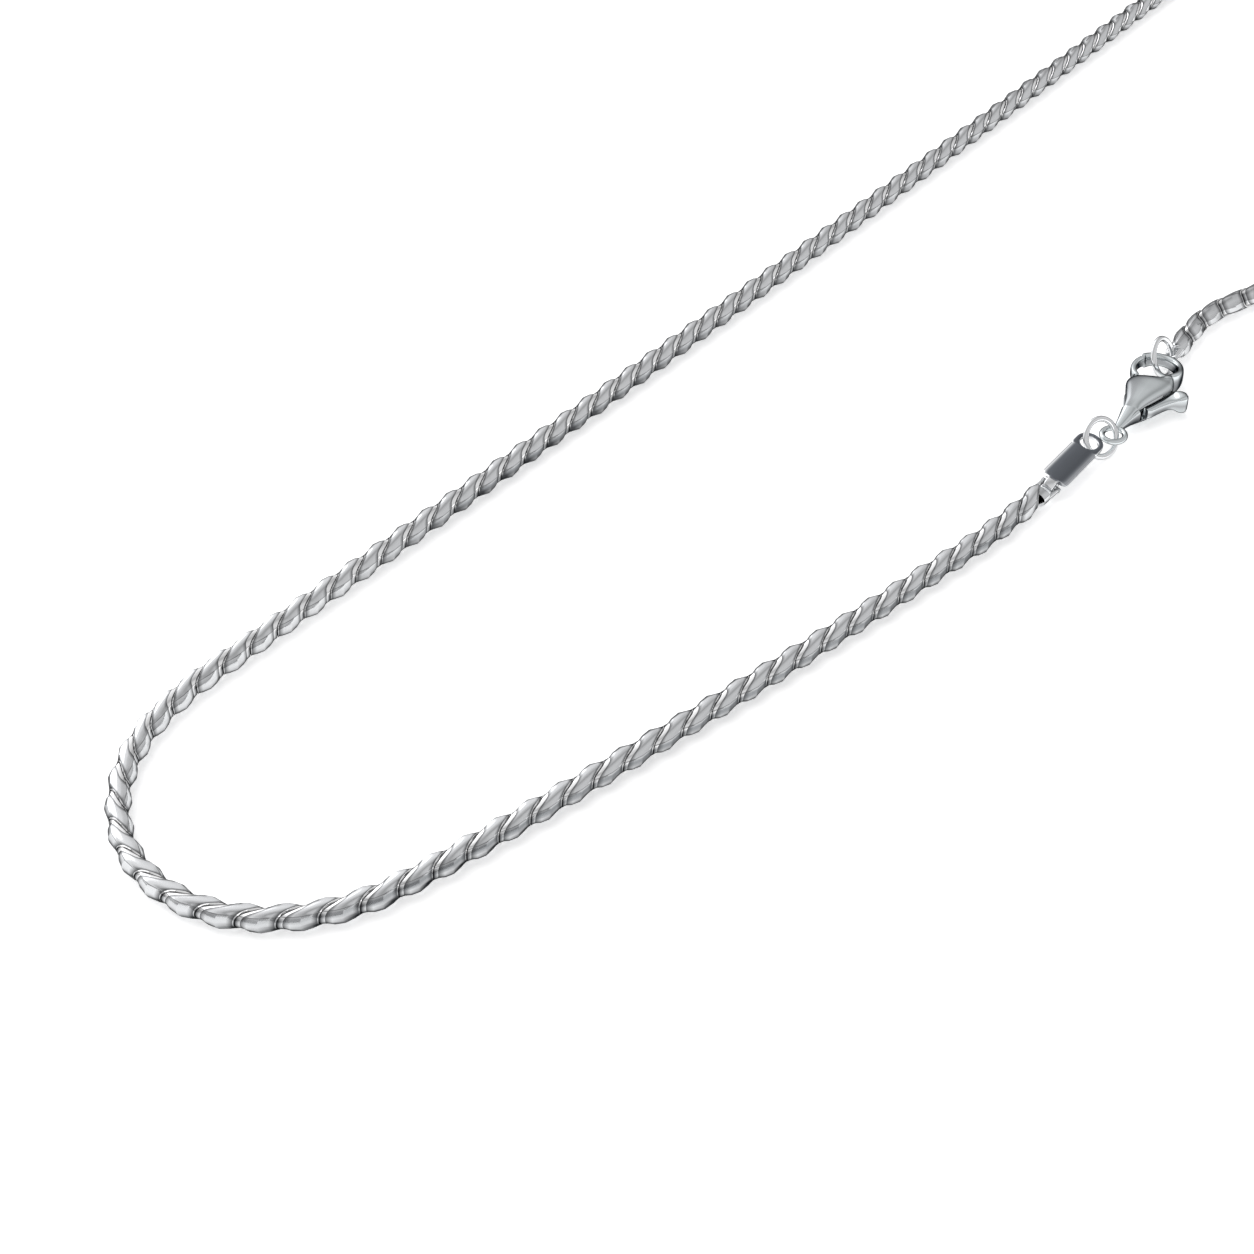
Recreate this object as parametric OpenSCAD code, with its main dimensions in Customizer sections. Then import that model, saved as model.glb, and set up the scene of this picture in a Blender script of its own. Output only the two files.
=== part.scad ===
/* [Chain] */
// Distance from one link to the next along the chain
link_pitch = 2.2; // [2.1:0.05:2.3]
// Turn of the leaves from the chain's direction, seen on their front
leaf_slant = 30; // [29:1:32]
// Half width of the chain
chain_half_width = 0.76; // [0.72:0.01:0.78]
// Half height of the round outline that the links are trimmed to
chain_half_height = 0.76; // [0.74:0.01:0.8]
// Thickness of the strip that a link is bent from
strip = 0.11; // [0.1:0.01:0.12]
// Height of a leaf's shoulders over the chain's middle
shoulder_rise = 0.2; // [0.18:0.01:0.22]
// Height of a leaf's crest over its shoulders
crest_rise = 0.38; // [0.34:0.01:0.4]
// Half length of a hooked leg's tip along its leaf
leg_tip_half = 0.5; // [0.4:0.05:0.55]
// Radius of the cross bar at each end of the chain
bar_radius = 0.18; // [0.15:0.01:0.2]

/* [Rings] */
// Radius of the jump ring at the middle of its wire
jump_ring_radius = 1.25; // [1.22:0.01:1.27]
// Radius of the end ring at the middle of its wire
end_ring_radius = 1.3; // [1.29:0.01:1.32]
// Radius of a ring's wire
ring_wire = 0.2; // [0.18:0.005:0.21]
// Lean of the jump ring from lying flat
jump_ring_lean = 57; // [56:1:58]
// Lean of the end ring from lying flat
end_ring_lean = 62.4; // [62:0.1:63]

/* [End tag] */
// Length of the tag from the chain's cross bar to its ring hole
tag_length = 4.7; // [4.6:0.05:4.8]
// Width of the tag
tag_width = 1.9; // [1.8:0.05:2]
// Thickness of the tag
tag_thick = 0.3; // [0.25:0.01:0.32]

/* [Clasp] */
// Thickness of the clasp, which lies flat
clasp_thick = 2.1; // [2:0.05:2.2]
// Radius of the hook at the middle of its metal
hook_radius = 1.55; // [1.5:0.01:1.6]
// Width of the hook's metal
hook_metal = 0.56; // [0.5:0.01:0.58]
// Height of the hook's metal at its top
hook_height = 0.7; // [0.6:0.05:0.75]
// Thickness of the trigger
trigger_thick = 0.8; // [0.7:0.05:0.85]
// Radius of the trigger's pin
pin_radius = 0.25; // [0.2:0.01:0.28]

/* [Hidden] */
$fn = 48;
// a length that reaches past any piece it trims
past = 4;

// The links lie a leaf's spacing apart, square to the leaf. Three strips and three gaps fill that spacing.
leaf_spacing = link_pitch * sin(leaf_slant);
strip_gap = leaf_spacing / 3 - strip;
leg_x = 2 * (strip + strip_gap);
leg_tip = -shoulder_rise - 0.02;
// a neighbour's leg lies this far along the leaf from the link's middle
joint_reach = link_pitch / 2 * cos(leaf_slant);
// the gap that neighbours keep where the chain bends
bend_gap = 0.11;

// The strip's middle line across the leaf, from the leg's tip over the upper leaf to the web.
// columns: x across the leaf, height, x and y of the step to the strip's outer face, middle of the bend's limit
half_strip = [
    [leg_x, leg_tip, 1, 0, joint_reach],
    [leg_x, shoulder_rise, 1, 0, joint_reach],
    [leg_x * 0.76, shoulder_rise + crest_rise, 0.6, 0.8, joint_reach / 2],
    [leg_x * 0.24, shoulder_rise + crest_rise, -0.6, 0.8, joint_reach / 2],
    [0, shoulder_rise, -1, 0, 0]
];
strip_rows = len(half_strip);

// From the cross bar at an end to the middle of the nearest link, and the solid block between them
bar_reach = 2.45;
block_end = 1.5;
block_radius = 0.7;
arm_width = 0.26;
arm_height = 2 * bar_radius;
block_height = 1;

// The chain's middle line: where it starts, and the stretches that follow one another
start_x = 125.64;
start_y = 72.82;
start_turn = 12;
start_roll = -42;
// columns: length, turn to the left over it, roll at its end
route = [
    [3.96, 0, -42],
    [4.4, -26.3, -42],
    [15, 0, -44],
    [60, 17.8, -45],
    [25.32, 0, -45],
    [67.5, 181.25, -45],
    [66.32, 0, -45],
    [29, -0.6, -22],
    [60, -1.2, -20],
    [14.2, -0.3, -4],
    [5, 14, 0],
    [9, 44, 0],
    [12, 73, 0],
    [7, 34, 0],
    [4, 4.3, 4],
    [14, 1.2, 20],
    [26.4, 3, 12],
    [9.2, 10, 10]
];
// the middle of the object's box, which the part's origin takes
middle_x = 150.79;
middle_y = 86.15;

function row_turn(i) = i == 0 ? start_turn : row_turn(i - 1) + route[i - 1][1];
function row_start(i) = i == 0 ? 0 : row_start(i - 1) + route[i - 1][0];
function row_roll(i) = i == 0 ? start_roll : route[i - 1][2];
// how far a stretch has gone, in x and y, after a length s of it
function stretch_move(i, s) =
    let (turn = route[i][1] * s / route[i][0],
         chord = abs(turn) < 0.001 ? s : s * sin(turn / 2) / (turn / 2 * PI / 180),
         aim = row_turn(i) + turn / 2)
    [chord * cos(aim), chord * sin(aim)];
function row_point(i) = i == 0 ? [start_x, start_y] : row_point(i - 1) + stretch_move(i - 1, route[i - 1][0]);
row_points = [for (i = [0:len(route) - 1]) row_point(i)];
row_starts = [for (i = [0:len(route)]) row_start(i)];
function row_of(s, i = 0) = i == len(route) - 1 || s < row_starts[i + 1] ? i : row_of(s, i + 1);
// position, heading and roll at a length s along the middle line
function along(s) =
    let (i = row_of(s),
         t = s - row_starts[i],
         share = t / route[i][0],
         p = row_points[i] + stretch_move(i, t))
    [p[0], p[1], row_turn(i) + route[i][1] * share, row_roll(i) + (route[i][2] - row_roll(i)) * share];

link_count = floor((row_starts[len(route)] - 2 * bar_reach) / link_pitch) + 1;
chain_length = 2 * bar_reach + (link_count - 1) * link_pitch;
half_count = floor(link_count / 2);
// the last link, and the middle of its cross bar
last_link = along(chain_length - bar_reach);
tag_x = last_link[0] + bar_reach * cos(last_link[2]);
tag_y = last_link[1] + bar_reach * sin(last_link[2]);
// the chain lies on the surface
axis_height = 0.79;

// Where the hardware lies, in the same sheet as the middle line
tag_turn = 7;
clasp_turn = 16;
hook_x = 123.6;
hook_y = 72.4;
jump_ring_x = 115.08;
jump_ring_y = 70.74;
jump_ring_z = 1.25;
jump_ring_turn = -11;
end_ring_x = 124.97;
end_ring_y = 72.84;
end_ring_z = 1.36;
end_ring_turn = 12.4;

// The tag's curl round the cross bar, its shoulder and its ring hole
curl_inner = bar_radius + 0.12;
curl_width = 0.72;
curl_angle = 290;
tag_shoulder = 0.2;
tag_hole = 0.6;

// The clasp in its own frame: x runs from the eye to the hook, with the hook's centre at the origin
hook_root = -125;
hook_tip = 75;
eye_x = -7.75;
eye_y = 0.2;
eye_radius = 0.95;
eye_hole = 0.56;
eye_thick = 0.4;
pivot_x = -2.5;
pivot_y = 0.6;
gate_reach = 3.4;
gate_gap = 0.07;
hub_radius = 0.6;
pin_gap = 0.05;
tab_height = 1.3;
slot_height = trigger_thick + 0.16;
slot_start = -5.2;
slot_end = -1.9;
slot_side = -0.65;
dome_radius = 3;

module place(s) {
    at = along(s);
    translate([at[0] - middle_x, at[1] - middle_y, axis_height])
        rotate([0, 0, at[2]])
            rotate([at[3], 0, 0])
                children();
}

// The most that the chain turns over one link beside a length s, in degrees
function link_turn(s) = max([
    for (t = [s - link_pitch, s, s + link_pitch])
        let (i = row_of(max(t, 0)))
        abs(route[i][1]) / route[i][0] * link_pitch
]);

// One corner of the strip: its place across the leaf, its height and the end of the leaf that it is on
function corner(row, face, end, limit, tip) =
    let (x = row[0] + face * row[2] * strip / 2,
         z = row[1] + face * row[3] * strip / 2,
         half_v = chain_half_width * sqrt(1 - pow(row[1] / chain_half_height, 2)),
         trimmed = (end * half_v + x * cos(leaf_slant)) / sin(leaf_slant),
         bound = row[4] + end * (tip ? min(leg_tip_half, limit) : limit),
         along_leaf = end > 0 ? min(trimmed, bound) : max(trimmed, bound))
    [along_leaf * cos(leaf_slant) + x * sin(leaf_slant), along_leaf * sin(leaf_slant) - x * cos(leaf_slant), z];

// The corners of a link whose neighbours turn by a number of degrees, four for each row of its strip
function link_corners(turn) =
    let (limit = (strip_gap - bend_gap) / max(sin(turn), 0.01),
         upper = [for (i = [0:strip_rows - 1]) [
             corner(half_strip[i], 1, -1, limit, i == 0),
             corner(half_strip[i], 1, 1, limit, i == 0),
             corner(half_strip[i], -1, 1, limit, i == 0),
             corner(half_strip[i], -1, -1, limit, i == 0)]],
         // the lower half is the upper one seen through the link's middle
         lower = [for (i = [strip_rows - 1:-1:0]) [-upper[i][2], -upper[i][3], -upper[i][0], -upper[i][1]]])
    [for (row = concat(upper, lower)) each row];

// A corner in the sheet of the middle line, at a length s along it
function placed(p, at) =
    let (y = p[1] * cos(at[3]) - p[2] * sin(at[3]),
         z = p[1] * sin(at[3]) + p[2] * cos(at[3]))
    [at[0] - middle_x + p[0] * cos(at[2]) - y * sin(at[2]), at[1] - middle_y + p[0] * sin(at[2]) + y * cos(at[2]),
     axis_height + z];

// The triangles of a link whose corners start at number n
function link_faces(n) = concat(
    [[n, n + 1, n + 2], [n, n + 2, n + 3]],
    [for (row = [0:2 * strip_rows - 2], side = [0:3])
        let (a = n + 4 * row + side, b = n + 4 * row + (side + 1) % 4)
        each [[a, b + 4, b], [a, a + 4, b + 4]]],
    let (m = n + 8 * strip_rows - 4)
    [[m, m + 2, m + 1], [m, m + 3, m + 2]]
);

// The links from one number to another, each a bent strip that hooks into its neighbours
module links(first, last) {
    polyhedron(
        points = [for (i = [first:last])
            let (s = bar_reach + i * link_pitch, at = along(s))
            each [for (p = link_corners(link_turn(s))) placed(p, at)]],
        faces = [for (i = [first:last]) each link_faces((i - first) * 8 * strip_rows)]
    );
}

// The solid block and cross bar that close the chain at its end, or turned round at its start
module end_block() {
    intersection() {
        rotate([0, 0, leaf_slant - 90])
            translate([0, -past, -block_height / 2])
                cube([past, 2 * past, block_height]);
        rotate([0, 90, 0])
            translate([0, 0, -past])
                cylinder(r = block_radius, h = past + block_end);
    }
    for (side = [-1, 1])
        translate([block_end - strip, side * (block_radius - arm_width / 2) - arm_width / 2, -arm_height / 2])
            cube([bar_reach - block_end + strip, arm_width, arm_height]);
    translate([bar_reach, 0, 0])
        rotate([90, 0, 0])
            cylinder(r = bar_radius, h = 2 * block_radius, center = true);
}

// From the end ring round the far end of the loop
module chain_start() {
    color("silver")
        links(1, half_count);
}

// From there through the photographed bend to the tag
module chain_finish() {
    color("silver")
        links(half_count + 1, link_count - 2);
}

// A link at an end: what would reach past its block is cut off, and the block closes it
module end_link(number, turn) {
    s = bar_reach + number * link_pitch;
    color("silver") {
        intersection() {
            links(number, number);
            place(s)
                rotate([0, 0, turn])
                    translate([-past, -past, -past])
                        cube([past + block_end - strip, 2 * past, 2 * past]);
        }
        place(s)
            rotate([0, 0, turn])
                end_block();
    }
}

module ring_end_link() {
    end_link(0, 180);
}

module tag_end_link() {
    end_link(link_count - 1, 0);
}

module wire_ring(radius) {
    rotate_extrude()
        translate([radius, 0])
            circle(ring_wire);
}

// Passes round the cross bar at the chain's start and round the hook
module end_ring() {
    color("silver")
        translate([end_ring_x - middle_x, end_ring_y - middle_y, end_ring_z])
            rotate([0, 0, end_ring_turn])
                rotate([end_ring_lean, 0, 0])
                    wire_ring(end_ring_radius);
}

// Passes through the tag's hole and the clasp's eye
module jump_ring() {
    color("silver")
        translate([jump_ring_x - middle_x, jump_ring_y - middle_y, jump_ring_z])
            rotate([0, 0, jump_ring_turn])
                rotate([jump_ring_lean, 0, 0])
                    wire_ring(jump_ring_radius);
}

// A flat plate whose lower end is curled round the chain's cross bar
module end_tag() {
    color("slategray")
        translate([tag_x - middle_x, tag_y - middle_y, axis_height])
            rotate([0, 0, tag_turn])
                rotate([last_link[3], 0, 0]) {
                    translate([0, 0, curl_inner])
                        linear_extrude(tag_thick)
                            difference() {
                                tag_outline();
                                translate([tag_length, 0])
                                    circle(tag_hole);
                            }
                    rotate([90, 0, 0])
                        rotate([0, 0, 90])
                            rotate_extrude(angle = curl_angle)
                                translate([curl_inner, -curl_width / 2])
                                    square([tag_thick, curl_width]);
                }
}

module tag_outline() {
    translate([0, -curl_width / 2])
        square([tag_shoulder + strip, curl_width]);
    translate([tag_shoulder, -tag_width / 2])
        square([tag_length - tag_shoulder, tag_width]);
    translate([tag_length, 0])
        circle(tag_width / 2);
}

module at_clasp() {
    translate([hook_x - middle_x, hook_y - middle_y, clasp_thick / 2])
        rotate([0, 0, clasp_turn])
            children();
}

// The body of the clasp seen from above, without its hook
module body_outline() {
    polygon([
        [-7.2, 0.46], [-4.7, 0.7], [-3.2, 1.1], [-2.5, 1.25], [-1.7, 0.9], [-1.3, -0.6],
        [-0.9, -1.35], [-1.2, -1.75], [-2.0, -1.85], [-2.6, -1.75], [-4.5, -1.0], [-7.2, -0.02]
    ]);
}

module clasp_body() {
    color("silver")
        at_clasp() {
            difference() {
                intersection() {
                    union() {
                        linear_extrude(clasp_thick, center = true)
                            difference() {
                                body_outline();
                                circle(hook_radius - hook_metal / 2);
                            }
                        rotate([0, 0, hook_root])
                            rotate_extrude(angle = hook_tip - hook_root)
                                translate([hook_radius - hook_metal / 2, -clasp_thick / 2])
                                    square([hook_metal, clasp_thick]);
                        translate([eye_x, eye_y, 0])
                            cylinder(r = eye_radius, h = clasp_thick, center = true);
                    }
                    rotate([90, 0, 0])
                        linear_extrude(2 * past, center = true)
                            side_profile();
                    domed();
                }
                translate([slot_start, -past, -slot_height / 2])
                    cube([slot_end - slot_start, 2 * past, slot_height]);
                translate([slot_start, slot_side, -slot_height / 2])
                    cube([-slot_start, past, slot_height]);
                translate([pivot_x, pivot_y, 0])
                    intersection() {
                        cylinder(r = gate_reach + gate_gap, h = clasp_thick, center = true);
                        translate([-pivot_x - hook_radius, 0, -clasp_thick])
                            cube([past + past, past, 2 * clasp_thick]);
                    }
                translate([eye_x, eye_y, 0])
                    cylinder(r = eye_hole, h = 2 * clasp_thick, center = true);
            }
            translate([pivot_x, pivot_y, 0])
                cylinder(r = pin_radius, h = slot_height + pin_radius, center = true);
        }
}

// Thin at the eye, full at the shoulders and thinner again towards the hook's top
module side_profile() {
    full = clasp_thick / 2;
    polygon([
        [-9.5, eye_thick / 2], [-6.9, eye_thick / 2], [-4.2, full], [-2.2, full], [2.5, hook_height / 2],
        [2.5, -hook_height / 2], [-2.2, -full], [-4.2, -full], [-6.9, -eye_thick / 2], [-9.5, -eye_thick / 2]
    ]);
}

// Crowned across the clasp on both faces
module domed() {
    dome_drop = dome_radius - clasp_thick / 2;
    intersection() {
        translate([0, 0, -dome_drop])
            rotate([0, 90, 0])
                cylinder(r = dome_radius, h = 6 * past, center = true, $fn = 96);
        translate([0, 0, dome_drop])
            rotate([0, 90, 0])
                cylinder(r = dome_radius, h = 6 * past, center = true, $fn = 96);
    }
}

// The lever: a gate that closes the hook, a hub on the pin and a tab for the thumb
module clasp_trigger() {
    color("gainsboro")
        at_clasp()
            difference() {
                union() {
                    linear_extrude(trigger_thick, center = true)
                        union() {
                            intersection() {
                                difference() {
                                    circle(hook_radius + hook_metal / 2 - gate_gap);
                                    circle(hook_radius - hook_metal / 2 + gate_gap);
                                }
                                translate([pivot_x, pivot_y])
                                    circle(gate_reach);
                                translate([-past, 0.9])
                                    square([2 * past, past]);
                            }
                            polygon([[-2.6, 1.15], [-1.35, 1.22], [-0.95, 0.98], [-1.9, 0.1], [-2.5, 0]]);
                            translate([pivot_x, pivot_y])
                                circle(hub_radius);
                            // the lever runs along the body's edge to the thumb tab
                            polygon([
                                [-3.1, 0.3], [-2.1, 0.3], [-2.05, -1.95], [-1.85, -2.6], [-2.0, -3.0],
                                [-2.6, -3.05], [-2.95, -2.45], [-3.3, -1.95], [-4.55, -1.3], [-4.7, -1.0], [-4.3, -0.7]
                            ]);
                        }
                    linear_extrude(tab_height, center = true)
                        polygon([[-2.05, -2.0], [-1.85, -2.6], [-2.0, -3.0], [-2.6, -3.05], [-2.9, -2.6], [-2.95, -2.0]]);
                }
                translate([pivot_x, pivot_y, 0])
                    cylinder(r = pin_radius + pin_gap, h = 2 * clasp_thick, center = true);
            }
}

chain_start();
chain_finish();
ring_end_link();
tag_end_link();
end_tag();
jump_ring();
clasp_body();
clasp_trigger();
end_ring();
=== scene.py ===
import math
import bpy
import numpy as np
from mathutils import Matrix


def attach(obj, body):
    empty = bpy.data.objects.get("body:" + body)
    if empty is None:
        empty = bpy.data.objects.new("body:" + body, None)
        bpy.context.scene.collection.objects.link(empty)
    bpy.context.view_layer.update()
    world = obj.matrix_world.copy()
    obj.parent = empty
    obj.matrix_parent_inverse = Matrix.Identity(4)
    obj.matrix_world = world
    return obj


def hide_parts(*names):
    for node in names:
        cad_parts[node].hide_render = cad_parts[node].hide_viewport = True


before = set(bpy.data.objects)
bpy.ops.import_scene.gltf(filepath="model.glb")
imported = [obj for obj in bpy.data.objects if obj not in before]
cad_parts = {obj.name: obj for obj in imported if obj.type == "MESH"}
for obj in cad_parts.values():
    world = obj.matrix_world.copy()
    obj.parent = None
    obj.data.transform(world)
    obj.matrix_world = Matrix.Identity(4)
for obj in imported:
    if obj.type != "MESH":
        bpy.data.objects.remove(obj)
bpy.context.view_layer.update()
mm = 0.001

# the camera comes first, because everything is judged from it
camera = {
    "place": (-150.79, -86.15, 105.55),  # mm
    "lens": 73.16,                       # mm on a sensor 36 mm wide
    "downTilt": 42.49,                   # degrees below level
    "heading": 45.0,                     # degrees from the x axis
    "roll": 1.077,                       # degrees
    "sees": (0.01, 20.0),                # nearest and farthest distance, m
}


def addCamera(c):
    tilt, aim, roll = (math.radians(c[k]) for k in ("downTilt", "heading", "roll"))
    level = np.array([math.cos(aim), math.sin(aim), 0.0])
    upright = np.array([0.0, 0.0, 1.0])
    ahead = level * math.cos(tilt) - upright * math.sin(tilt)
    above = level * math.sin(tilt) + upright * math.cos(tilt)
    side = np.cross(level, upright)
    axes = np.eye(4)
    axes[:3, 0] = math.cos(roll) * side - math.sin(roll) * above
    axes[:3, 1] = math.sin(roll) * side + math.cos(roll) * above
    axes[:3, 2] = -ahead
    axes[:3, 3] = np.array(c["place"]) * mm
    data = bpy.data.cameras.new("camera")
    data.lens, data.sensor_width = c["lens"], 36.0
    data.clip_start, data.clip_end = c["sees"]
    ob = bpy.data.objects.new("camera", data)
    bpy.context.scene.collection.objects.link(ob)
    ob.matrix_world = Matrix(axes.tolist())
    bpy.context.scene.camera = ob


addCamera(camera)
print("camera stands")


# Volume inside closed faces of three or four corners, positive when they look outwards: the sum of
# a . (b x c) / 6 over all their triangles.
def volumeOf(points, faces):
    total = 0.0
    for f in faces:
        a, b, c = points[f[:, 0]], points[f[:, 1]], points[f[:, 2]]
        total += np.einsum("ij,ij->i", a, np.cross(b, c)).sum()
        if f.shape[1] == 4:
            total += np.einsum("ij,ij->i", a, np.cross(c, points[f[:, 3]])).sum()
    return total / 6


# The four-cornered faces of a grid of rows, each row a ring of columns; the rows too can close to a ring.
def gridQuads(rows, columns, closeRows=False):
    r = np.arange(rows if closeRows else rows - 1)[:, None]
    c = np.arange(columns)[None, :]
    here, onwards = r % rows * columns, (r + 1) % rows * columns
    beside = (c + 1) % columns
    return np.stack([here + c, here + beside, onwards + beside, onwards + c], -1).reshape(-1, 4)


# A mesh from points in mm, smooth but for the edges that are sharper than an angle in degrees. Its fields are
# values at the points, which the finishes read.
def addPiece(name, points, faces, material, body, node, sharp, fields):
    mesh = bpy.data.meshes.new(name)
    mesh.from_pydata((points * mm).tolist(), [], faces)
    for field, values in fields.items():
        mesh.attributes.new(field, "FLOAT", "POINT").data.foreach_set("value", values.astype(np.float32))
    mesh.polygons.foreach_set("use_smooth", np.ones(len(mesh.polygons), bool))
    mesh.set_sharp_from_angle(angle=math.radians(sharp))
    mesh.materials.append(material)
    mesh.update()
    ob = bpy.data.objects.new(name, mesh)
    bpy.context.scene.collection.objects.link(ob)
    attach(ob, body)
    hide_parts(node)


# One piece from several closed bodies, each given as points, faces and, where it has them, its painted shade
# field and its field of matt and painted light.
def addSolid(name, parts, material, body, node, sharp=50):
    allPoints, allFaces, allFields, n = [], [], [], 0
    for points, faces, *fields in parts:
        flip = volumeOf(points, faces) < 0
        for f in faces:
            allFaces += ((f[:, ::-1] if flip else f) + n).tolist()
        allPoints.append(points)
        allFields.append(fields[0] if fields else np.zeros((2, len(points))))
        n += len(points)
    dressed = any(part[2:] for part in parts)
    named = dict(zip(("painted_shade", "matt_and_painted_light"), np.concatenate(allFields, 1))) if dressed else {}
    addPiece(name, np.concatenate(allPoints), allFaces, material, body, node, sharp, named)


# what is common to the four finishes
silverwork = {
    "patches": (900, 3),               # scale and detail of the cloudy patches
    "patchRange": (0.35, 0.7),         # stretch of the noise that they use
    "patchTint": 0.9,                  # how dark a patch is beside the rest
    "dents": (9000, 2),                # scale and detail of the tiny dents
    "dentDepth": 0.00002,              # m
    "painted_shade": (0.03, 0.032, 0.035),      # colour of the painted shade down in the seams, under the borders and along the dark lines
    "rim": (0.04, 0.045, 0.05),        # colour of the painted shade where the surface turns away from the eye
    "grazing": (0.3, 0.3, 0.3, 1),     # tint of what is seen at a flat angle
}
# colour and side are the silver's on a piece's face and on its matt sides, where side is painted shade on the
# chain and clasp and painted highlight on the tag; bright is painted highlight on the chain's borders; scuff
# is how much rougher the patches are; turned is how far a surface has turned away where its painted shade
# begins and where it is darkest
finish = {
    "chain": {"colour": (0.78, 0.79, 0.80), "rough": 0.13, "scuff": 0.06, "bump": 0.10,
              "side": (0.27, 0.28, 0.29), "sideRough": 0.26, "bright": (0.97, 0.97, 0.97),
              "turned": (0.55, 0.90), "rimShade": 0.95},
    "clasp": {"colour": (0.76, 0.80, 0.81), "rough": 0.09, "scuff": 0.05, "bump": 0.06,
              "side": (0.36, 0.37, 0.38), "sideRough": 0.2,
              "turned": (0.33, 0.70), "rimShade": 0.95},
    # the tag's face: a dark copy of the silver colour, painted shade
    "tag": {"colour": (0.20, 0.215, 0.24), "rough": 0.12, "scuff": 0.06, "bump": 0.08,
            "side": (0.92, 0.93, 0.94), "sideRough": 0.12,
            "turned": (0.45, 0.85), "rimShade": 0.9},
    "ring": {"colour": (0.90, 0.91, 0.92), "rough": 0.10, "scuff": 0.05, "bump": 0.06,
             "turned": (0.50, 0.90), "rimShade": 0.95},
}


# A node that spreads a value from one range over another.
def spread(tree, value, fromRange, toRange, kind="LINEAR"):
    node = tree.nodes.new("ShaderNodeMapRange")
    node.interpolation_type = kind
    node.inputs["From Min"].default_value, node.inputs["From Max"].default_value = fromRange
    node.inputs["To Min"].default_value, node.inputs["To Max"].default_value = toRange
    tree.links.new(value, node.inputs["Value"])
    return node.outputs[0]


# Polished silver: cloudy patches in roughness and tint, tiny dents in bump, matt with the side colour
# (painted shade on the chain and clasp, painted highlight on the tag) and painted highlight where the piece's
# own fields say so, painted shade in its seams and lines, and more painted shade where the surface turns away
# from the eye.
def silver(name, look):
    mat = bpy.data.materials.new(name)
    mat.use_nodes = True
    tree = mat.node_tree
    new, wire = tree.nodes.new, tree.links.new
    shader = tree.nodes["Principled BSDF"]
    shader.inputs["Metallic"].default_value = 1.0
    shader.inputs["Specular Tint"].default_value = silverwork["grazing"]
    where = new("ShaderNodeTexCoord").outputs["Object"]

    def noise(scale, detail):
        node = new("ShaderNodeTexNoise")
        node.inputs["Scale"].default_value, node.inputs["Detail"].default_value = scale, detail
        wire(where, node.inputs["Vector"])
        return node.outputs["Fac"]

    def field(title):
        node = new("ShaderNodeAttribute")
        node.attribute_name = title
        return node.outputs["Fac"]

    def mixed(share, first, second):
        node = new("ShaderNodeMix")
        node.data_type = "RGBA"
        node.inputs[7].default_value = (*second, 1)
        wire(share, node.inputs[0])
        if isinstance(first, tuple):
            node.inputs[6].default_value = (*first, 1)
        else:
            wire(first, node.inputs[6])
        return node.outputs[2]

    cloudy = noise(*silverwork["patches"])
    smoothest, roughest = look["rough"] - look["scuff"] / 2, look["rough"] + look["scuff"]
    roughness = spread(tree, cloudy, silverwork["patchRange"], (smoothest, roughest))
    tint = mixed(cloudy, look["colour"], [c * silverwork["patchTint"] for c in look["colour"]])
    # the side colour, painted shade on the chain and clasp and painted highlight on the tag, on rougher matt
    # sides
    if "side" in look:
        matt_and_painted_light = field("matt_and_painted_light")
        tint = mixed(matt_and_painted_light, tint, look["side"])
        duller = new("ShaderNodeMix")
        duller.inputs[3].default_value = look["sideRough"]
        wire(matt_and_painted_light, duller.inputs[0])
        wire(roughness, duller.inputs[2])
        roughness = duller.outputs[0]
        # painted highlight on the chain's borders
        if "bright" in look:
            tint = mixed(field("bright"), tint, look["bright"])
        # painted shade in the seams, under the borders and along the dark lines and ridges
        tint = mixed(field("painted_shade"), tint, silverwork["painted_shade"])
    # painted shade where the surface turns away from the eye
    facing = new("ShaderNodeLayerWeight")
    facing.inputs["Blend"].default_value = 0.5
    away = spread(tree, facing.outputs["Facing"], look["turned"], (0, look["rimShade"]), "SMOOTHSTEP")
    wire(mixed(away, tint, silverwork["rim"]), shader.inputs["Base Color"])
    wire(roughness, shader.inputs["Roughness"])
    bump = new("ShaderNodeBump")
    bump.inputs["Strength"].default_value = look["bump"]
    bump.inputs["Distance"].default_value = silverwork["dentDepth"]
    wire(noise(*silverwork["dents"]), bump.inputs["Height"])
    wire(bump.outputs["Normal"], shader.inputs["Normal"])
    return mat


chainSilver = silver("chain_silver", finish["chain"])
claspSilver = silver("clasp_silver", finish["clasp"])
tagSilver = silver("tag_silver", finish["tag"])
ringSilver = silver("ring_silver", finish["ring"])
print("materials are mixed")

# the chain's run, in mm and degrees; a roll turns the links' flat faces round the run
chain = {
    "pitch": 2.2,                       # from link to link
    "count": 195,
    "barReach": 2.45,                   # from a cross bar to the middle of the nearest link
    "axisHeight": 0.79,                 # of the links' middle over the surface
    "sheetMiddle": (150.79, 86.15),     # the frame's origin, in the run's own x and y
    "start": (125.64, 72.82, 12, -42),  # x, y, heading and roll at the end ring's cross bar
    # length, turn to the left over it, roll at its end
    "route": [(3.96, 0, -42), (4.4, -26.3, -42), (15, 0, -44), (60, 17.8, -45), (25.32, 0, -45),
              (67.5, 181.25, -45), (66.32, 0, -45), (29, -0.6, -22), (60, -1.2, -20), (14.2, -0.3, -4),
              (5, 14, 0), (9, 44, 0), (12, 73, 0), (7, 34, 0), (4, 4.3, 4), (14, 1.2, 20),
              (26.4, 3, 12), (9.2, 10, 10)],
    "step": 0.05,                       # between two places of the worked-out run
    # how much of the links' matt, painted side shade and parting's painted shade is lifted, by place in mm
    # along the chain, and the most of it
    "mattAndShadeLift": [(0, 1), (42, 1), (62, 0), (225, 0), (240, 0.7), (285, 0.6), (315, 0), (322, 0),
               (336, 1), (366, 1), (380, 0)],
    "mattAndShadeLiftMost": 0.85,
    "sharp": 22,                        # degrees past which an edge stays sharp
}


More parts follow.
